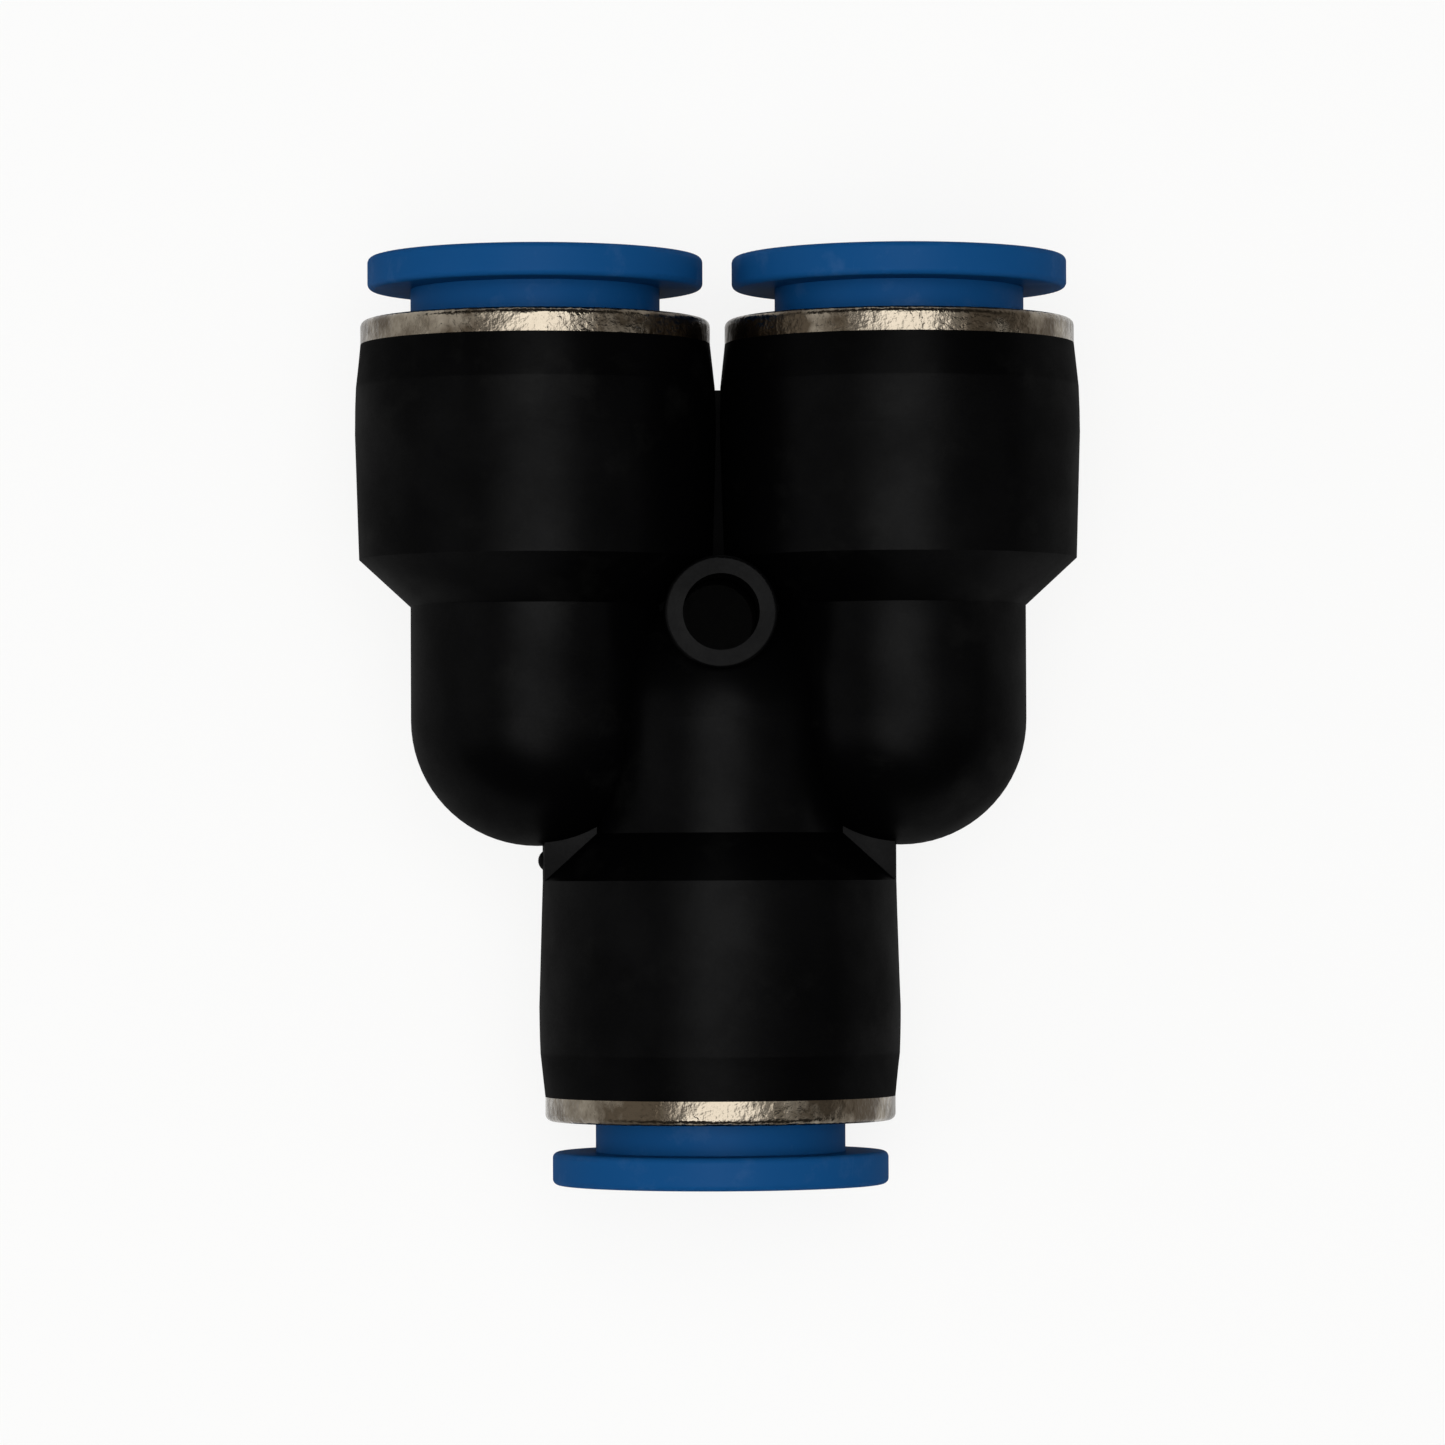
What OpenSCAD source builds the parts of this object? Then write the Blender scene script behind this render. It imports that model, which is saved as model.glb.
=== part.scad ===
// Y union for push-in tube: one moulded manifold body that carries three alike ports.
// Each port has a plated guide ring, a release collar, a ring of claws, a spacer and a seal.
// Millimetres. It lies flat: +X runs across the two branch ports, +Y towards them, +Z up.
// The origin is on the surface it lies on, under the point where the port axes meet.

/* [Tube] */
// Outside diameter of the tube that each port takes
tube_d = 12; // [11.5:0.1:14]
// Extra diameter of the bore that guides the end of the tube
pilot_play = 0.2; // [0.1:0.05:0.5]
// Length of that bore, from the seal's seat to the tube stop
pilot_l = 4.75; // [3.8:0.05:5.8]
// Ledge that stops the tube at the end of that bore
stop_ledge = 1.1; // [0.6:0.1:1.6]

/* [Release collars] */
// Extra diameter of the collar's bore over the tube
collar_play = 0.3; // [0.2:0.05:0.6]
// Wall of the collar's neck
collar_wall = 1.1; // [0.9:0.05:1.4]
// Diameter of the collar's push flange
collar_flange_d = 19.5; // [16:0.1:22]
// Thickness of the push flange
collar_flange_t = 1.9; // [1.2:0.1:2.6]
// Radius of the rounded rim of the push flange
collar_rim_r = 0.35; // [0.1:0.05:0.55]
// How far the collar can be pushed in
collar_travel = 1.8; // [1.2:0.1:2.2]
// Depth of the lead-in cone at the collar's mouth
collar_lead = 0.7; // [0.4:0.1:1]
// How far the snap barbs stand out from the neck
barb_h = 0.6; // [0.45:0.05:0.7]
// Length of the sloped back of a barb
barb_l = 1.2; // [0.8:0.1:1.6]
// Length of the thin nose beyond the barbs
nose_l = 2.3; // [1.8:0.1:2.6]
// Wall at the tip of the nose
nose_tip_wall = 0.55; // [0.4:0.05:0.7]
// Number of spring fingers
finger_count = 6; // [4:1:8]
// Width of the slots between the fingers
finger_slot_w = 1; // [0.6:0.1:1.5]

/* [Guide rings] */
// Extra diameter of the ring's bore over the collar's neck
ring_play = 0.5; // [0.3:0.05:0.7]
// Thickness of the plated flange that shows
ring_flange_t = 1.4; // [1:0.1:1.8]
// How far the flange stands out over the pressed spigot
ring_flange_w = 1.37; // [1:0.01:1.6]
// Radius of the flange's rounded outer edge
ring_edge_r = 0.4; // [0.1:0.05:0.6]
// Length of the lip inside the body that holds the barbs
ring_lip_l = 1.2; // [0.8:0.1:1.5]
// Length of the spigot that is pressed into the body
spigot_l = 5.2; // [4.9:0.1:6.2]
// Wall of the spigot round the barbs
spigot_wall = 0.6; // [0.4:0.05:0.8]
// Room outside the barbs
barb_room = 0.35; // [0.2:0.05:0.6]

/* [Claw rings] */
// Thickness of the spring steel
claw_t = 0.3; // [0.2:0.05:0.4]
// How far the claws bite into the tube, on the diameter
claw_bite = 0.2; // [0.1:0.05:0.24]
// Width of the flat rim that is clamped
claw_rim_w = 0.85; // [0.6:0.05:1.1]
// How far the claw tips lean in past the rim
claw_lean = 1.5; // [1.2:0.1:1.8]
// Number of claws
claw_count = 12; // [8:1:16]
// Width of the slits between the claws
claw_slit_w = 0.6; // [0.4:0.1:0.9]

/* [Spacers and seals] */
// Length of the spacer between claws and seal
spacer_l = 2.5; // [2.3:0.1:3]
// Extra diameter of the spacer's bore over the tube
spacer_play = 0.6; // [0.4:0.1:0.9]
// Thickness of the seal's round section
seal_t = 2.62; // [2.2:0.02:2.8]
// How far the tube squeezes that section
seal_squeeze = 0.15; // [0.05:0.01:0.25]
// Extra length of the seal's seat over its section
seal_room = 0.2; // [0.05:0.05:0.5]

/* [Body] */
// Wall of the body round the pressed spigot, at the mouth of a barrel
mouth_wall = 1.35; // [1:0.05:1.8]
// Swell of a barrel from its mouth to its widest place, on the radius
barrel_swell = 0.33; // [0.25:0.01:0.45]
// Taper of a barrel from its widest place to its shoulder, on the radius
barrel_taper = 0.22; // [0.05:0.01:0.35]
// Length of a barrel
barrel_l = 12.5; // [11:0.1:15]
// Length of the flaring land at the mouth of a barrel
land_l = 2.5; // [1.8:0.1:3]
// Length of the crown from the land to the widest place
crown_l = 2.7; // [2:0.1:3.5]
// Length of the cone between a barrel and its neck
shoulder_l = 2.75; // [2.2:0.05:3.4]
// Wall of a neck round the tube's end
neck_wall = 1.2; // [1:0.05:1.6]
// Length of a neck, from its cone to where the port axes meet
neck_l = 6.6; // [5.4:0.1:8]
// Gap between the two branch barrels
branch_gap = 0.2; // [0.1:0.05:1]
// Thickness of the web between the necks, and of the gussets
web_t = 3.2; // [2:0.1:4]
// Thickness of the divider between the branch barrels
divider_t = 1.2; // [0.8:0.1:2]
// How far the divider starts below the mouths of the branch barrels
divider_drop = 2.7; // [1.5:0.05:4]
// Diameter of the mounting boss
boss_d = 6.5; // [6:0.1:7.5]
// How far the boss stands over the necks at each side
boss_rise = 0.05; // [0:0.05:0.6]
// Radius of the boss's rounded rim
boss_edge_r = 0.2; // [0.1:0.05:0.4]
// Diameter of the mounting hole
hole_d = 4.4; // [3.6:0.1:4.6]
// Distance from where the port axes meet to the mounting hole
hole_rise = 6; // [5.6:0.1:7.2]
// Diameter of the rounded gate mark on the left gusset
gate_d = 1.05; // [0.7:0.05:1.4]
// How far the gate mark stands proud
gate_h = 0.26; // [0.1:0.02:0.34]
// Distance of the gate mark from the stem barrel's cone edge
gate_rise = 1.2; // [0.8:0.1:1.6]

/* [Waterways] */
// Width of the passage that joins the three ports
cross_d = 6.2; // [5:0.1:7]
// Least wall between the passages and the mounting hole
water_wall = 1.4; // [1:0.1:2]

/* [Hidden] */
$fn = 96;
// Clearance on the radius where one part is pressed into another
seat_gap = 0.02;
// Clearance on faces that stop or guide a moving part
stop_gap = 0.05;
// How far a cut runs past the face that it opens
past = 1;

pilot_r = (tube_d + pilot_play) / 2;
water_r = pilot_r - stop_ledge;
collar_bore_r = (tube_d + collar_play) / 2;
collar_neck_r = collar_bore_r + collar_wall;
collar_flange_r = collar_flange_d / 2;
barb_r = collar_neck_r + barb_h;
ring_bore_r = collar_neck_r + ring_play / 2;
relief_r = barb_r + barb_room;
spigot_r = relief_r + spigot_wall;
ring_r = spigot_r + ring_flange_w;
seat_r = spigot_r + seat_gap;
seal_seat_r = tube_d / 2 + seal_t - seal_squeeze;
seal_mid_r = seal_seat_r - seat_gap - seal_t / 2;
claw_tip_r = (tube_d - claw_bite) / 2;
claw_bend_r = spigot_r - claw_rim_w;
spacer_bore_r = (tube_d + spacer_play) / 2;

mouth_r = seat_r + mouth_wall;
barrel_r = mouth_r + barrel_swell;
shoulder_r = barrel_r - barrel_taper;
neck_r = pilot_r + neck_wall;
arm_l = barrel_l + shoulder_l + neck_l;
branch_x = barrel_r + branch_gap / 2;
boss_z = neck_r + boss_rise;

// Levels along a port, from the mouth of its barrel: plus is outwards, minus is into the body
ring_top = ring_flange_t;
flange_low = ring_top + collar_travel;
flange_top = flange_low + collar_flange_t;
barb_top = -ring_lip_l - stop_gap;
barb_low = barb_top - barb_l;
nose_tip = barb_low - nose_l;
claw_top = -spigot_l;
spacer_top = claw_top - claw_t;
seal_top = spacer_top - spacer_l;
seal_low = seal_top - seal_t - seal_room;
tube_stop = seal_low - pilot_l;

// The crown takes this share of the swell, and the land takes the rest
crown_swell = barrel_swell * 0.18;
crown_arc_r = (crown_l * crown_l + crown_swell * crown_swell) / (2 * crown_swell);
crown_s = land_l + crown_l;

// The gate mark is the cap of a ball
gate_ball_r = (gate_d * gate_d / 4 + gate_h * gate_h) / (2 * gate_h);

// The stem's waterway stops short of the mounting hole
water_top = hole_rise - hole_d / 2 - water_wall;

PORTS = ["left", "right", "stem"];

// Puts a part drawn along +Z from the mouth of a barrel onto its port
module at_port(port) {
    lift = [0, 0, barrel_r];
    if (port == "left") translate(lift + [-branch_x, arm_l, 0]) rotate([-90, 0, 0]) children();
    if (port == "right") translate(lift + [branch_x, arm_l, 0]) rotate([-90, 0, 0]) children();
    if (port == "stem") translate(lift + [0, -arm_l, 0]) rotate([90, 0, 0]) children();
}

// Outline of the rounded rim of a flange, in radius and level: round corners of one radius
module rounded_rim(outer_r, low, top, corner_r, low_corner = true) {
    rim_low = low_corner ? low + corner_r : low;
    translate([outer_r - 2 * corner_r, rim_low]) square([2 * corner_r, top - corner_r - rim_low]);
    translate([outer_r - corner_r, top - corner_r]) circle(corner_r);
    if (low_corner) translate([outer_r - corner_r, low + corner_r]) circle(corner_r);
}

// One arm of the body: land, crown and taper of the barrel, cone, neck and round end
module arm_outline() {
    polygon([
        [0, 0],
        [mouth_r, 0],
        [barrel_r - crown_swell, -land_l],
        [barrel_r - crown_swell, -crown_s],
        [barrel_r, -crown_s],
        [shoulder_r, -barrel_l],
        [neck_r, -barrel_l - shoulder_l],
        [neck_r, -arm_l],
        [0, -arm_l]
    ]);
    intersection() {
        translate([barrel_r - crown_arc_r, -crown_s]) circle(crown_arc_r, $fn = 720);
        translate([neck_r, -crown_s]) square([barrel_r - neck_r, crown_l]);
    }
    intersection() {
        translate([0, -arm_l]) circle(neck_r);
        translate([0, -arm_l - neck_r]) square(neck_r);
    }
}

// The stepped bore of a port: pressed seat, seal seat, pilot bore and waterway
module port_bore(water_low) {
    rotate_extrude() {
        polygon([
            [0, past],
            [seat_r, past],
            [seat_r, seal_top],
            [seal_seat_r, seal_top],
            [seal_seat_r, seal_low],
            [pilot_r, seal_low],
            [pilot_r, tube_stop],
            [water_r, tube_stop],
            [water_r, water_low],
            [0, water_low]
        ]);
        intersection() {
            translate([0, water_low]) circle(water_r);
            translate([0, water_low - water_r]) square(water_r);
        }
    }
}

// Web between the necks, thin divider between the branch barrels, gussets down to the stem's barrel
module middle_web() {
    gusset_low = -arm_l + barrel_l;
    translate([-branch_x, 0, -web_t / 2]) cube([2 * branch_x, neck_l + shoulder_l / 2, web_t]);
    translate([-branch_x, 0, -divider_t / 2]) cube([2 * branch_x, arm_l - divider_drop, divider_t]);
    intersection() {
        translate([-shoulder_r, gusset_low, -web_t / 2]) cube([2 * shoulder_r, -gusset_low, web_t]);
        translate([0, gusset_low, 0]) rotate([-90, 0, 0]) cylinder(r = shoulder_r, h = -gusset_low);
    }
}

module boss() {
    flat_r = boss_d / 2 - boss_edge_r;
    rotate_extrude() {
        translate([0, -boss_z]) square([flat_r, 2 * boss_z]);
        rounded_rim(boss_d / 2, -boss_z, boss_z, boss_edge_r);
    }
}

module gate_mark() {
    translate([gate_ball_r - shoulder_r - gate_h, 0, 0]) sphere(gate_ball_r);
}

module body() {
    gate_y = -arm_l + barrel_l + gate_rise;
    stem_water_low = -arm_l + water_r - water_top;
    color([0.06, 0.06, 0.06]) difference() {
        union() {
            for (port = PORTS) at_port(port) rotate_extrude() arm_outline();
            translate([0, 0, barrel_r]) middle_web();
            translate([0, hole_rise, barrel_r]) boss();
            translate([0, gate_y, barrel_r]) gate_mark();
        }
        at_port("left") port_bore(-arm_l);
        at_port("right") port_bore(-arm_l);
        at_port("stem") port_bore(stem_water_low);
        translate([-branch_x, water_top - cross_d / 2, barrel_r])
            rotate([0, 90, 0]) cylinder(d = cross_d, h = 2 * branch_x);
        translate([0, hole_rise, barrel_r - boss_z - past]) cylinder(d = hole_d, h = 2 * (boss_z + past));
    }
}

// Plated ring: flange on the barrel's mouth, spigot pressed inside, lip that holds the collar
module guide_ring() {
    color([0.62, 0.58, 0.52]) rotate_extrude() {
        polygon([
            [ring_bore_r, -ring_lip_l],
            [relief_r, -ring_lip_l],
            [relief_r, -spigot_l],
            [spigot_r, -spigot_l],
            [spigot_r, 0],
            [ring_r - ring_edge_r, 0],
            [ring_r - ring_edge_r, ring_top],
            [ring_bore_r, ring_top]
        ]);
        rounded_rim(ring_r, 0, ring_top, ring_edge_r, false);
    }
}

// Push collar: flange, neck, snap barbs and a thin nose, slotted into spring fingers
module release_collar() {
    slot_top = -ring_lip_l / 2;
    lead_low = flange_top - collar_lead;
    color([0.12, 0.32, 0.55]) difference() {
        union() {
            rotate_extrude() {
                translate([0, flange_low]) square([collar_flange_r - collar_rim_r, collar_flange_t]);
                rounded_rim(collar_flange_r, flange_low, flange_top, collar_rim_r);
            }
            rotate_extrude() polygon([
                [0, lead_low],
                [collar_neck_r, lead_low],
                [collar_neck_r, barb_top],
                [barb_r, barb_top],
                [collar_neck_r, barb_low],
                [collar_bore_r + nose_tip_wall, nose_tip],
                [0, nose_tip]
            ]);
        }
        translate([0, 0, nose_tip - past]) cylinder(r = collar_bore_r, h = flange_top - nose_tip + 2 * past);
        translate([0, 0, lead_low])
            cylinder(r1 = collar_bore_r, r2 = collar_bore_r + collar_lead + past, h = collar_lead + past);
        for (i = [0:finger_count - 1]) rotate([0, 0, (i + 0.5) * 360 / finger_count])
            translate([0, -finger_slot_w / 2, nose_tip - past])
                cube([barb_r + past, finger_slot_w, slot_top - nose_tip + past]);
    }
}

// Spring steel ring: flat rim clamped between spigot and spacer, claws that lean inwards
module claw_ring() {
    slit_end_r = claw_bend_r + claw_rim_w / 3;
    color([0.7, 0.7, 0.72]) difference() {
        rotate_extrude() polygon([
            [spigot_r, claw_top],
            [claw_bend_r, claw_top],
            [claw_tip_r, claw_top - claw_lean],
            [claw_tip_r, claw_top - claw_lean - claw_t],
            [claw_bend_r, claw_top - claw_t],
            [spigot_r, claw_top - claw_t]
        ]);
        for (i = [0:claw_count - 1]) rotate([0, 0, i * 360 / claw_count])
            translate([0, -claw_slit_w / 2, claw_top - claw_lean - claw_t - past])
                cube([slit_end_r, claw_slit_w, claw_lean + claw_t + 2 * past]);
    }
}

// Plastic spacer: backs the claws, leaves them room to bend and holds the seal in
module spacer_ring() {
    mouth_land = claw_rim_w * 0.8;
    bore_land = spacer_l * 0.16;
    color([0.82, 0.8, 0.74]) rotate_extrude() polygon([
        [spigot_r, spacer_top],
        [spigot_r - mouth_land, spacer_top],
        [spacer_bore_r, seal_top + bore_land],
        [spacer_bore_r, seal_top],
        [spigot_r, seal_top]
    ]);
}

module seal_ring() {
    color([0.05, 0.05, 0.05]) rotate_extrude()
        translate([seal_mid_r, (seal_top + seal_low) / 2]) circle(seal_t / 2);
}

body();
for (port = PORTS) {
    at_port(port) guide_ring();
    at_port(port) release_collar();
    at_port(port) claw_ring();
    at_port(port) spacer_ring();
    at_port(port) seal_ring();
}
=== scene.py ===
"""Finishes and stages a Y union for push-in tube round its solids.

The union lies flat on the floor and the camera looks down on it. Lengths are in metres.
"""

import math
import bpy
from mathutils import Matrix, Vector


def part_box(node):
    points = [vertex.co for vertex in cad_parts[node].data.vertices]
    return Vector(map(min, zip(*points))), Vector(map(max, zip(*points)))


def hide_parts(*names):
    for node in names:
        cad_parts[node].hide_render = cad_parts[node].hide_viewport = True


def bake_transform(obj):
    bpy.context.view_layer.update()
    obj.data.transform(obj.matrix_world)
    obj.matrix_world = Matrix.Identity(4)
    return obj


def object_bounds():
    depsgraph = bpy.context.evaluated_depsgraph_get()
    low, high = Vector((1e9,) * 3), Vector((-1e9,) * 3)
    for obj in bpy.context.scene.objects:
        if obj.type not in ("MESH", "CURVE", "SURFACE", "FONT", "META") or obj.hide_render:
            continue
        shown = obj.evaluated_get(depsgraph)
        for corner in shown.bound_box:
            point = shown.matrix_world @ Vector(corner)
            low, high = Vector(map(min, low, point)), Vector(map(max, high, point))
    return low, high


bl_info = {
    "name": "Y union for push-in tube",
    "version": (1, 0, 0),
    "blender": (4, 5, 0),
    "location": "View3D > Sidebar > Y union",
    "description": "Finishes the pieces of a Y union for push-in tube and stages it",
    "category": "Object",
}

import bpy
import numpy as np
from mathutils import Matrix, Vector

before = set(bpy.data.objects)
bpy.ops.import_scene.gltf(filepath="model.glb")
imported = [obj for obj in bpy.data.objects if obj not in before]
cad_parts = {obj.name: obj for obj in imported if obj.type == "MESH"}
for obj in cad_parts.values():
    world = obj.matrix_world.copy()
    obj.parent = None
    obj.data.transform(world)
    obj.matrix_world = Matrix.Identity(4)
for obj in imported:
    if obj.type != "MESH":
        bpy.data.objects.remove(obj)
low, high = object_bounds()

MM = 0.001
PORTS = ("left", "right", "stem")

# Places in the solids: the plane of the port axes, the mounting hole and the plate between the necks.
AXIS_Z = (low.z + high.z) / 2
HOLE_Y = 6 * MM
WEB_Y = 12 * MM
WEB_HALF = (4 * MM, 7.4 * MM, 1.7 * MM)
ANY_WIDTH = 1.0

# Share of the housing's gloss that the lands at the mouths and the plate between the necks keep. Both cuts
# are painted shade: the lands are darker as their tilt from the lamps makes them, and the deep slot over
# the plate is darker as the shade in it makes it.
SHADED_LAND_GLOSS = 0.75
SHADED_WEB_GLOSS = 0.15

# Distances from the mounting hole's axis, on the floor: where the full painted shadow under the hole ends,
# where the painted shadow is gone and the floor's own colour is whole, and where the plain white is whole.
# The housing covers all three from above.
PAINTED_SHADOW_ENDS = 2.35 * MM
PAINTED_SHADOW_GONE = 3.4 * MM
WHITE_WHOLE = 10 * MM
WHITE_SHARE = 0.87

# Points of a mesh are merged where they round to the same step. There are so many steps in a metre.
MERGE_STEPS = 1e7

SENSOR_WIDTH_MM = 36.0

# Name, place, width, depth and setting for the radiance of each lamp. The first three hang in one stack.
LAMPS = (
    ("softbox_above", (-0.02, -0.035, 1.0), 1.6, 1.04, "top_light"),
    ("softbox_middle", (-0.02, -0.035, 0.99), 0.88, 1.03, "middle_light"),
    ("softbox_strip", (-0.02, -0.035, 0.98), 0.44, 1.02, "strip_light"),
    ("softbox_left", (-1.1, 0.0, 0.62), 0.95, 0.8, "left_light"),
    ("softbox_right", (1.0, 0.0, 0.75), 0.5, 0.8, "right_light"),
)


def length(name, about, default, smallest=0.0, largest=5.0):
    """A length that a user may change, in metres."""
    return bpy.props.FloatProperty(
        name=name, description=about, default=default, min=smallest, max=largest,
        unit="LENGTH", subtype="DISTANCE", precision=5,
    )


def colour(name, about, default):
    """A colour that a user may change, as linear red, green and blue."""
    return bpy.props.FloatVectorProperty(
        name=name, description=about, default=default, min=0.0, max=1.0, size=3, subtype="COLOR",
    )


def number(name, about, default, smallest=0.0, largest=1.0):
    """A plain number that a user may change."""
    return bpy.props.FloatProperty(
        name=name, description=about, default=default, min=smallest, max=largest, precision=4,
    )


class YUnionHousing(bpy.types.PropertyGroup):
    """Colours and skin of the moulded housing"""

    plastic: colour("Plastic", "Colour of the black housing plastic", (0.0008, 0.0008, 0.0009))
    worn: colour(
        "Worn plastic", "Colour where the skin of the plastic is rubbed", (0.004, 0.004, 0.0038),
    )
    gloss: number("Gloss", "Strength of the skin's reflection", 0.076)
    roughness: number("Roughness", "Roughness of the plastic's skin", 0.34)
    grain: length("Grain", "Size of the fine grain of the mould", 0.16 * MM, 0.02 * MM, 2 * MM)
    # Painted shade: the land's gloss is cut so that it looks darker, as its tilt from the lamps makes it.
    land: length(
        "Land", "Length of the duller land at the mouth of each barrel", 2.5 * MM, 0.0, 6 * MM,
    )


class YUnionCollars(bpy.types.PropertyGroup):
    """Colours and skin of the release collars"""

    plastic: colour("Plastic", "Colour of the blue collar plastic", (0.006, 0.069, 0.216))
    pale: colour("Handled plastic", "Colour of faint marks on the plastic", (0.03, 0.1, 0.25))
    gloss: number("Gloss", "Strength of the skin's reflection", 0.06)
    roughness: number("Roughness", "Roughness of the plastic's skin", 0.35)


class YUnionRings(bpy.types.PropertyGroup):
    """Colours and ripples of the plated guide rings"""

    plating: colour("Plating", "Colour of the nickel plating", (0.25, 0.218, 0.172))
    dull: colour("Dull plating", "Colour of the plating where it is dull", (0.078, 0.06, 0.041))
    ripple: length("Ripple", "Size of the ripples in the plating", 0.75 * MM, 0.1 * MM, 4 * MM)
    roughness: number("Roughness", "Roughness of the plating", 0.16)


class YUnionInside(bpy.types.PropertyGroup):
    """Colours of the claws, spacers and seals inside the ports"""

    steel: colour("Steel", "Colour of the spring steel of the claws", (0.52, 0.51, 0.49))
    spacer: colour("Spacer", "Colour of the spacer plastic", (0.62, 0.58, 0.48))
    rubber: colour("Rubber", "Colour of the seal rubber", (0.006, 0.006, 0.006))


class YUnionStage(bpy.types.PropertyGroup):
    """Camera, floor and lamps"""

    camera_place: bpy.props.FloatVectorProperty(
        name="Camera place", description="Place of the camera from where the port axes meet",
        default=(-8.4 * MM, -9.3 * MM, 375 * MM), size=3, subtype="TRANSLATION", precision=5,
    )
    camera_aim: bpy.props.FloatVectorProperty(
        name="Camera aim", description="Point at mid height in the middle of the picture",
        default=(0.21 * MM, -0.16 * MM, 0), size=3, subtype="TRANSLATION", precision=5,
    )
    camera_roll: bpy.props.FloatProperty(
        name="Camera roll", description="Turn of the camera about its own line of sight",
        default=math.radians(-0.24), subtype="ANGLE",
    )
    lens: number("Lens", "Focal length in millimetres on a 36 millimetre sensor", 160.7, 20, 400)
    floor: colour("Floor", "Colour of the floor and of the backdrop", (0.86, 0.86, 0.855))
    top_light: number("Top light", "Radiance of the wide softbox above", 0.55, 0, 50)
    middle_light: number("Middle light", "Radiance of the narrower softbox under it", 1.6, 0, 50)
    strip_light: number("Strip light", "Radiance of the strip under both", 1.7, 0, 50)
    left_light: number("Left light", "Radiance of the softbox on the left", 1.1, 0, 50)
    right_light: number("Right light", "Radiance of the softbox on the right", 0.7, 0, 50)
    room_light: number("Room light", "Radiance of the room around", 0.05, 0, 5)


SETTINGS = {
    "yunion_housing": YUnionHousing,
    "yunion_collars": YUnionCollars,
    "yunion_rings": YUnionRings,
    "yunion_inside": YUnionInside,
    "yunion_stage": YUnionStage,
}


def set_inputs(tree, node, inputs):
    """Gives a node's inputs, by name or number, a value each or a link from another node's output."""
    for key, value in inputs.items():
        if isinstance(value, bpy.types.NodeSocket):
            tree.links.new(value, node.inputs[key])
        else:
            node.inputs[key].default_value = value


def add_node(tree, kind, inputs=None, **settings):
    """A shader node with its own settings, and with its inputs as set_inputs takes them."""
    made = tree.nodes.new(kind)
    for key, value in settings.items():
        setattr(made, key, value)
    set_inputs(tree, made, inputs or {})
    return made


def math_of(tree, operation, *parts):
    """Result of a maths operation on its parts, each a number or another node's output."""
    made = add_node(tree, "ShaderNodeMath", dict(enumerate(parts)), operation=operation)
    return made.outputs[0]


def remap(tree, value, start, end, first=0.0, last=1.0):
    """A value that goes from first to last while its source goes from start to end."""
    made = add_node(tree, "ShaderNodeMapRange", {
        "Value": value, "From Min": start, "From Max": end, "To Min": first, "To Max": last,
    })
    return made.outputs["Result"]


def noise(tree, place, scale, detail, roughness=0.5, distortion=0.0):
    """Smooth noise about 0.5, with so many lumps to the metre."""
    made = add_node(tree, "ShaderNodeTexNoise", {
        "Vector": place, "Scale": scale, "Detail": detail, "Roughness": roughness,
        "Distortion": distortion,
    })
    return made.outputs["Fac"]


def mix_colour(tree, factor, first, second):
    """Colour that goes from the first to the second as a mask goes from 0 to 1.

    A Mix node keeps its two colours on inputs 6 and 7, and gives the mixed colour on output 2.
    """
    made = add_node(tree, "ShaderNodeMix", {
        0: factor, 6: (*first, 1.0), 7: (*second, 1.0),
    }, data_type="RGBA")
    return made.outputs[2]


def new_group(name, numbers, outputs):
    """An empty node group with a Vector input, number inputs with defaults, and number outputs."""
    tree = bpy.data.node_groups.new(name, "ShaderNodeTree")
    tree.interface.new_socket("Vector", in_out="INPUT", socket_type="NodeSocketVector")
    for key, value in numbers.items():
        socket = tree.interface.new_socket(key, in_out="INPUT", socket_type="NodeSocketFloat")
        socket.default_value = value
    for key in outputs:
        tree.interface.new_socket(key, in_out="OUTPUT", socket_type="NodeSocketFloat")
    start = tree.nodes.new("NodeGroupInput")
    end = tree.nodes.new("NodeGroupOutput")
    return tree, start.outputs, end


def moulded_skin():
    """Group for moulded plastic. Height is fine grain, and Cloud is a slow wander from 0 to 1.

    Both are smooth noise: grain in lumps of one grain size, the cloud in lumps thirty times larger.
    """
    found = bpy.data.node_groups.get("moulded_skin")
    if found:
        return found
    tree, given, end = new_group("moulded_skin", {"Grains per metre": 6000.0}, ("Height", "Cloud"))
    place = given["Vector"]
    grains = given["Grains per metre"]
    cloud = noise(tree, place, math_of(tree, "DIVIDE", grains, 30.0), 4.0, 0.55)
    set_inputs(tree, end, {
        "Height": noise(tree, place, grains, 3.0, 0.6),
        "Cloud": remap(tree, cloud, 0.36, 0.64),
    })
    return tree


def handling_marks():
    """Group for handled surfaces. Scratches are hairlines, and Scuffs are small soft rubs, from 0 to 1.

    A hairline is where stretched noise crosses its middle value, kept only in a few patches.
    A scuff is where noise rises over a high level.
    """
    found = bpy.data.node_groups.get("handling_marks")
    if found:
        return found
    tree, given, end = new_group(
        "handling_marks", {"Marks per metre": 300.0}, ("Scratches", "Scuffs"),
    )
    place = given["Vector"]
    marks = given["Marks per metre"]
    slant = add_node(tree, "ShaderNodeMapping", {
        "Vector": place, "Rotation": (0.4, 0.3, 0.5), "Scale": (1.0, 0.12, 1.0),
    })
    line = noise(tree, slant.outputs["Vector"], marks, 1.0, distortion=0.3)
    off_middle = math_of(tree, "ABSOLUTE", math_of(tree, "SUBTRACT", line, 0.5))
    hairline = remap(tree, off_middle, 0.0, 0.006, 1.0, 0.0)
    patch = remap(tree, noise(tree, place, marks, 2.0), 0.56, 0.66)
    rub = noise(tree, place, marks, 5.0, 0.65)
    set_inputs(tree, end, {
        "Scratches": math_of(tree, "MULTIPLY", hairline, patch),
        "Scuffs": remap(tree, rub, 0.56, 0.8),
    })
    return tree


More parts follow.
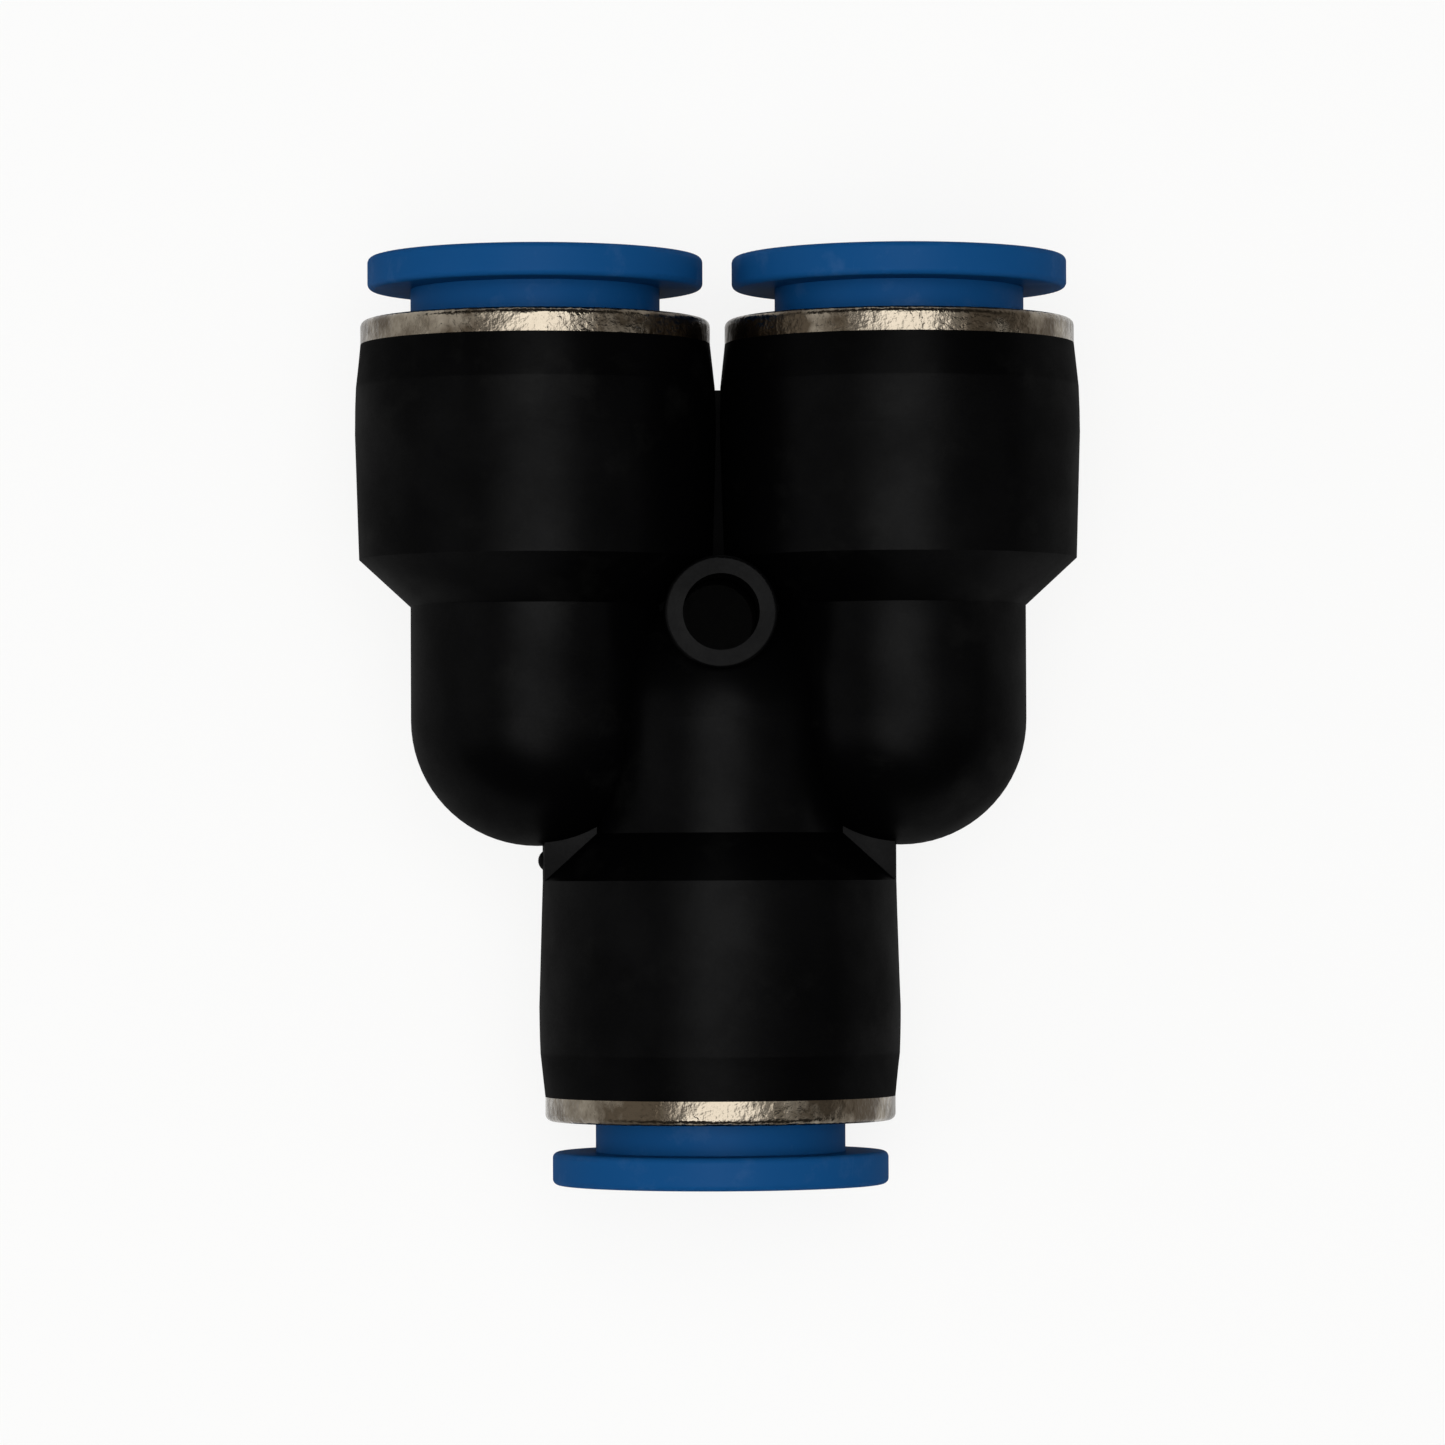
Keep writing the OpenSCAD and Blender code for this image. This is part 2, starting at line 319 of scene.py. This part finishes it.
def new_material(name, base, roughness, level=0.5, metallic=0.0):
    """A material, its tree, its Principled shader with plain values set, and Object coordinates."""
    made = bpy.data.materials.new(name)
    made.use_nodes = True
    made.diffuse_color = (*base, 1.0)
    tree = made.node_tree
    shader = tree.nodes["Principled BSDF"]
    set_inputs(tree, shader, {
        "Base Color": (*base, 1.0), "Roughness": roughness, "Specular IOR Level": level,
        "Metallic": metallic,
    })
    place = add_node(tree, "ShaderNodeTexCoord").outputs["Object"]
    return made, tree, shader, place


def gloss_inside(tree, place, strength, centre, half, inner, outer):
    """Strength times one number inside a box on Object coordinates and times another outside it.

    Inside is where the largest of the three distances from the centre, each over its own half size, is
    under one. The change is spread over a hundredth of the half size.
    """
    scale = tuple(1 / part for part in half)
    shift = tuple(-middle * part for middle, part in zip(centre, scale))
    local = add_node(tree, "ShaderNodeMapping", {
        "Vector": place, "Location": shift, "Scale": scale,
    })
    size = add_node(
        tree, "ShaderNodeVectorMath", {0: local.outputs["Vector"]}, operation="ABSOLUTE",
    )
    x, y, z = add_node(tree, "ShaderNodeSeparateXYZ", {0: size.outputs["Vector"]}).outputs
    largest = math_of(tree, "MAXIMUM", math_of(tree, "MAXIMUM", x, y), z)
    return math_of(tree, "MULTIPLY", strength, remap(tree, largest, 0.995, 1.005, inner, outer))


def plastic_material(name, base, worn, gloss, roughness, grain, depth, marks, boxes=()):
    """Moulded plastic: a thin glossy skin over the colour, with fine grain, a few hairlines and rubs.

    Grain is the grain's size and depth its height. Marks is how many handling marks fit in a metre. The
    strength of the skin is the gloss, times a slow wander and times a finer one of one grain's size.
    Each box then changes it: its centre, its half size, and what it is times inside and outside.
    """
    made, tree, shader, place = new_material(name, base, 0.6, 0.0)
    skin = add_node(tree, "ShaderNodeGroup", {
        "Vector": place, "Grains per metre": 1 / grain,
    }, node_tree=moulded_skin()).outputs
    wear = add_node(tree, "ShaderNodeGroup", {
        "Vector": place, "Marks per metre": marks,
    }, node_tree=handling_marks()).outputs
    faint_lines = math_of(tree, "MULTIPLY", wear["Scratches"], 0.5)
    worn_mask = math_of(tree, "MAXIMUM", faint_lines, wear["Scuffs"])
    wander = remap(tree, skin["Cloud"], 0.0, 1.0, 0.78 * gloss, 1.22 * gloss)
    fine = remap(tree, skin["Height"], 0.3, 0.7, 0.88, 1.12)
    strength = math_of(tree, "MULTIPLY", wander, fine)
    for centre, half, inner, outer in boxes:
        strength = gloss_inside(tree, place, strength, centre, half, inner, outer)
    bump = add_node(tree, "ShaderNodeBump", {
        "Strength": 0.5, "Distance": depth, "Height": skin["Height"],
    })
    set_inputs(tree, shader, {
        "Base Color": mix_colour(tree, worn_mask, base, worn),
        "Coat Weight": strength,
        "Coat Roughness": roughness,
        "Normal": bump.outputs["Normal"],
    })
    return made


def plating_material(name, plating, dull, ripple, roughness, radius):
    """Nickel plating over turned brass: soft ripples, small pits and dull stains.

    The stains are the plating's own. Where the height over or under the port axis nears the ring's radius
    they fade to a fifth, a painted highlight that makes the plating brighter on the ring's top and bottom.
    """
    made, tree, shader, place = new_material(name, plating, roughness, 0.5, 1.0)
    waves = noise(tree, place, 1 / ripple, 3.0, 0.62)
    pits = add_node(tree, "ShaderNodeTexVoronoi", {
        "Vector": place, "Scale": 2.4 / ripple,
    }, feature="SMOOTH_F1")
    height = math_of(tree, "MULTIPLY_ADD", pits.outputs["Distance"], 0.25, waves)
    bump = add_node(tree, "ShaderNodeBump", {
        "Strength": 0.9, "Distance": 0.11 * MM, "Height": height,
    })
    stain = remap(tree, noise(tree, place, 0.22 / ripple, 4.0, 0.6), 0.36, 0.54)
    level = add_node(tree, "ShaderNodeSeparateXYZ", {0: place}).outputs["Z"]
    off_axis = math_of(tree, "ABSOLUTE", math_of(tree, "SUBTRACT", level, AXIS_Z))
    # Painted highlight: near the ring's top and bottom the stains fade to a fifth, so the plating is
    # brighter there.
    kept = remap(tree, off_axis, 0.93 * radius, 0.985 * radius, 1.0, 0.2)
    stains_and_painted_highlight = math_of(tree, "MULTIPLY", stain, kept)
    set_inputs(tree, shader, {
        "Base Color": mix_colour(tree, stains_and_painted_highlight, plating, dull),
        "Roughness": remap(tree, stains_and_painted_highlight, 0.0, 1.0, roughness - 0.04, roughness + 0.14),
        "Normal": bump.outputs["Normal"],
    })
    return made


def steel_material(name, base):
    """Bright rolled spring steel: fine streaks in its roughness."""
    made, tree, shader, place = new_material(name, base, 0.3, 0.5, 1.0)
    streaks = noise(tree, place, 2500.0, 3.0)
    set_inputs(tree, shader, {"Roughness": remap(tree, streaks, 0.0, 1.0, 0.2, 0.42)})
    return made


def rubber_material(name, base):
    """Seal rubber: rougher and a trace paler in soft clouds."""
    made, tree, shader, place = new_material(name, base, 0.5, 0.3)
    skin = add_node(tree, "ShaderNodeGroup", {
        "Vector": place, "Grains per metre": 9000.0,
    }, node_tree=moulded_skin()).outputs
    pale = tuple(1.012 * part for part in base)
    set_inputs(tree, shader, {
        "Base Color": mix_colour(tree, skin["Cloud"], base, pale),
        "Roughness": remap(tree, skin["Cloud"], 0.0, 1.0, 0.42, 0.6),
    })
    return made


def floor_material(name, base):
    """Pale floor: most of what camera, metal and gloss see of it is plain white, the rest takes shadow.

    Under the mounting hole, where the sky is shut out, the floor's colour is painted near black as a
    painted shadow. From the distance at which the full painted shadow ends, its colour goes smoothly to
    pale, and the plain white comes in more slowly.
    """
    made, tree, shader, place = new_material(name, base, 0.9, 0.0)
    white = add_node(tree, "ShaderNodeEmission", {"Color": (1.0, 1.0, 0.995, 1.0), "Strength": 1.0})
    ray = add_node(tree, "ShaderNodeLightPath").outputs
    seen = math_of(tree, "MAXIMUM", ray["Is Camera Ray"], ray["Is Glossy Ray"])
    seen = math_of(tree, "MAXIMUM", seen, ray["Is Transmission Ray"])
    away = add_node(tree, "ShaderNodeVectorMath", {
        0: place, 1: (0.0, HOLE_Y, 0.0),
    }, operation="DISTANCE").outputs["Value"]
    pale = remap(tree, away, PAINTED_SHADOW_ENDS, PAINTED_SHADOW_GONE)
    clear = math_of(tree, "MULTIPLY", remap(tree, away, PAINTED_SHADOW_ENDS, WHITE_WHOLE), WHITE_SHARE)
    # Painted shadow: under the mounting hole the floor's colour is a thirtieth of its own, fading to its
    # own colour further out.
    painted_shadow = tuple(0.03 * part for part in base)
    set_inputs(tree, shader, {"Base Color": mix_colour(tree, pale, painted_shadow, base)})
    mix = add_node(tree, "ShaderNodeMixShader", {
        0: math_of(tree, "MULTIPLY", seen, clear), 1: shader.outputs[0], 2: white.outputs[0],
    })
    set_inputs(tree, tree.nodes["Material Output"], {"Surface": mix.outputs[0]})
    return made


def dress(piece, material):
    """Gives a piece one material all over."""
    piece.data.materials.clear()
    piece.data.materials.append(material)


def merged(source):
    """Points and triangles of a CAD mesh whose points on the same merge step are made one."""
    points = np.zeros(len(source.data.vertices) * 3)
    source.data.vertices.foreach_get("co", points)
    corners = np.zeros(len(source.data.loops), dtype=np.int64)
    source.data.loops.foreach_get("vertex_index", corners)
    points = points.reshape(-1, 3)
    steps = np.round(points * MERGE_STEPS).astype(np.int64)
    first, where = np.unique(steps, axis=0, return_index=True, return_inverse=True)[1:]
    faces = where.reshape(-1)[corners].reshape(-1, 3)
    a, b, c = faces.T
    return points[first], faces[(a != b) & (b != c) & (c != a)]


def new_piece(name, points, faces, sharp=math.radians(28)):
    """A mesh object at the origin, smooth except across edges sharper than an angle."""
    mesh = bpy.data.meshes.new(name)
    mesh.from_pydata(points.tolist(), [], faces.tolist())
    mesh.validate()
    mesh.shade_smooth()
    mesh.set_sharp_from_angle(angle=sharp)
    piece = bpy.data.objects.new(name, mesh)
    bpy.context.scene.collection.objects.link(piece)
    return piece


def floor_mesh(name, flat=1.2, wall=2.0, height=0.32, rings=48, around=128):
    """Round floor that turns up into a backdrop.

    It is flat to one radius, with rings of points at 0.25 m and 0.6 m, and then a quarter ellipse up to
    the wall's radius and height. The middle is a fan round one point.
    """
    turn = np.linspace(0, np.pi / 2, rings)
    radius = np.concatenate([[0.25, 0.6], flat + (wall - flat) * np.sin(turn)])
    level = np.concatenate([[0.0, 0.0], height * (1 - np.cos(turn))])
    angle = np.linspace(0, 2 * np.pi, around, endpoint=False)
    x = radius[:, None] * np.cos(angle)[None, :]
    y = radius[:, None] * np.sin(angle)[None, :]
    z = np.repeat(level[:, None], around, axis=1)
    grid = np.stack([x, y, z], axis=-1).reshape(-1, 3)
    start = 1 + np.arange(len(radius) - 1)[:, None] * around
    here = np.arange(around)[None, :]
    beyond = (here + 1) % around
    a, b, c, d = start + here, start + around + here, start + around + beyond, start + beyond
    halves = [np.stack([a, b, c], -1), np.stack([a, c, d], -1)]
    fan = np.stack([np.zeros(around, dtype=np.int64), 1 + here[0], 1 + beyond[0]], axis=1)
    return new_piece(
        name,
        np.concatenate([[[0.0, 0.0, 0.0]], grid]),
        np.concatenate([fan, np.stack(halves, axis=2).reshape(-1, 3)]),
    )


def softbox(name, place, width, depth, radiance):
    """Rectangular lamp aimed at the union. Its power is its radiance times pi times its area."""
    lamp = bpy.data.lights.new(name, "AREA")
    lamp.shape = "RECTANGLE"
    lamp.size = width
    lamp.size_y = depth
    lamp.energy = radiance * math.pi * width * depth
    made = bpy.data.objects.new(name, lamp)
    made.location = place
    way = Vector((0, 0, AXIS_Z)) - Vector(place)
    made.rotation_euler = way.to_track_quat("-Z", "Y").to_euler()
    bpy.context.scene.collection.objects.link(made)


def aim_camera(place, target, roll):
    """Camera matrix that looks from a place at a target with +Y up, turned about its line of sight."""
    back = (place - target).normalized()
    right = Vector((0, 1, 0)).cross(back).normalized()
    up = back.cross(right)
    turned = Matrix((right, up, back)).transposed().to_4x4() @ Matrix.Rotation(roll, 4, "Z")
    turned.translation = place
    return turned


class YUNION_OT_housing(bpy.types.Operator):
    """Gives the moulded housing its black plastic"""

    bl_idname = "yunion.housing"
    bl_label = "Finish the housing"

    def execute(self, context):
        sizes = context.scene.yunion_housing
        between_lands = (ANY_WIDTH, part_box("body")[1].y - sizes.land, ANY_WIDTH)
        black = plastic_material(
            "black_housing_plastic", tuple(sizes.plastic), tuple(sizes.worn),
            gloss=sizes.gloss, roughness=sizes.roughness, grain=sizes.grain, depth=0.006 * MM,
            marks=240.0,
            # Painted shade: the gloss is cut on the lands at the mouths and over the plate between the
            # necks.
            boxes=(
                ((0, 0, AXIS_Z), between_lands, 1.0, SHADED_LAND_GLOSS),
                ((0, WEB_Y, AXIS_Z), WEB_HALF, SHADED_WEB_GLOSS, 1.0),
            ),
        )
        dress(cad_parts["body"], black)
        return {"FINISHED"}


class YUNION_OT_collars(bpy.types.Operator):
    """Gives the three release collars their blue plastic"""

    bl_idname = "yunion.collars"
    bl_label = "Finish the release collars"

    def execute(self, context):
        sizes = context.scene.yunion_collars
        blue = plastic_material(
            "blue_collar_plastic", tuple(sizes.plastic), tuple(sizes.pale),
            gloss=sizes.gloss, roughness=sizes.roughness, grain=0.22 * MM, depth=0.004 * MM,
            marks=330.0,
        )
        for port in PORTS:
            dress(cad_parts["release_collar_" + port], blue)
        return {"FINISHED"}


class YUNION_OT_guide_rings(bpy.types.Operator):
    """Gives the three guide rings their plating"""

    bl_idname = "yunion.guide_rings"
    bl_label = "Finish the guide rings"

    def execute(self, context):
        sizes = context.scene.yunion_rings
        plating = plating_material(
            "nickel_plating", tuple(sizes.plating), tuple(sizes.dull), sizes.ripple,
            sizes.roughness, radius=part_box("guide_ring_stem")[1].z - AXIS_Z,
        )
        for port in PORTS:
            dress(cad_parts["guide_ring_" + port], plating)
        return {"FINISHED"}


class YUNION_OT_inside(bpy.types.Operator):
    """Finishes the claws, spacers and seals inside the ports"""

    bl_idname = "yunion.inside"
    bl_label = "Finish the inside of the ports"

    def execute(self, context):
        sizes = context.scene.yunion_inside
        steel = steel_material("spring_steel", tuple(sizes.steel))
        rubber = rubber_material("seal_rubber", tuple(sizes.rubber))
        pale = tuple(sizes.spacer)
        spacer = plastic_material(
            "natural_spacer_plastic", pale, tuple(0.8 * part for part in pale),
            gloss=0.4, roughness=0.45, grain=0.2 * MM, depth=0.003 * MM, marks=300.0,
        )
        for port in PORTS:
            dress(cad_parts["spacer_ring_" + port], spacer)
            dress(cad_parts["seal_ring_" + port], rubber)
            points, faces = merged(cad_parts["claw_ring_" + port])
            claws = new_piece("sprung_claws_" + port, points, faces)
            dress(claws, steel)
            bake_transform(claws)
            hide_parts("claw_ring_" + port)
        return {"FINISHED"}


class YUNION_OT_stage(bpy.types.Operator):
    """Sets up the floor, the lamps and the camera above the union"""

    bl_idname = "yunion.stage"
    bl_label = "Set the stage"

    def execute(self, context):
        sizes = context.scene.yunion_stage
        floor = floor_mesh("pale_floor")
        dress(floor, floor_material("pale_floor", tuple(sizes.floor)))
        for name, place, width, depth, light in LAMPS:
            softbox(name, place, width, depth, getattr(sizes, light))
        world = bpy.data.worlds.new("dim_room")
        world.use_nodes = True
        set_inputs(world.node_tree, world.node_tree.nodes["Background"], {
            "Color": (1.0, 1.0, 1.0, 1.0), "Strength": sizes.room_light,
        })
        context.scene.world = world
        lens = bpy.data.cameras.new("camera_above")
        lens.sensor_width = SENSOR_WIDTH_MM
        lens.lens = sizes.lens
        lens.clip_start = 0.01
        lens.clip_end = 20.0
        camera = bpy.data.objects.new("camera_above", lens)
        middle = Vector((0, 0, AXIS_Z))
        place = middle + Vector(sizes.camera_place)
        target = middle + Vector(sizes.camera_aim)
        camera.matrix_world = aim_camera(place, target, sizes.camera_roll)
        context.scene.collection.objects.link(camera)
        context.scene.camera = camera
        context.scene.view_settings.view_transform = "Standard"
        return {"FINISHED"}


OPERATORS = (
    YUNION_OT_housing,
    YUNION_OT_collars,
    YUNION_OT_guide_rings,
    YUNION_OT_inside,
    YUNION_OT_stage,
)


class YUNION_PT_panel(bpy.types.Panel):
    """Lists the settings and steps of the Y union"""

    bl_idname = "YUNION_PT_panel"
    bl_label = "Y union"
    bl_space_type = "VIEW_3D"
    bl_region_type = "UI"
    bl_category = "Y union"

    def draw(self, context):
        for name, operator in zip(SETTINGS, OPERATORS):
            box = self.layout.box()
            group = getattr(context.scene, name)
            for key in group.bl_rna.properties.keys():
                if key not in ("rna_type", "name"):
                    box.prop(group, key)
            box.operator(operator.bl_idname)


CLASSES = (*SETTINGS.values(), *OPERATORS, YUNION_PT_panel)


def register():
    """Registers the classes and hangs each group of settings on the scene."""
    for item in CLASSES:
        bpy.utils.register_class(item)
    for name, group in SETTINGS.items():
        setattr(bpy.types.Scene, name, bpy.props.PointerProperty(type=group))


def unregister():
    """Takes the settings and classes away again."""
    for name in SETTINGS:
        delattr(bpy.types.Scene, name)
    for item in reversed(CLASSES):
        bpy.utils.unregister_class(item)


def main():
    """Registers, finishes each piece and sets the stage."""
    register()
    bpy.ops.yunion.housing()
    bpy.ops.yunion.collars()
    bpy.ops.yunion.guide_rings()
    bpy.ops.yunion.inside()
    bpy.ops.yunion.stage()


if __name__ == "__main__":
    main()
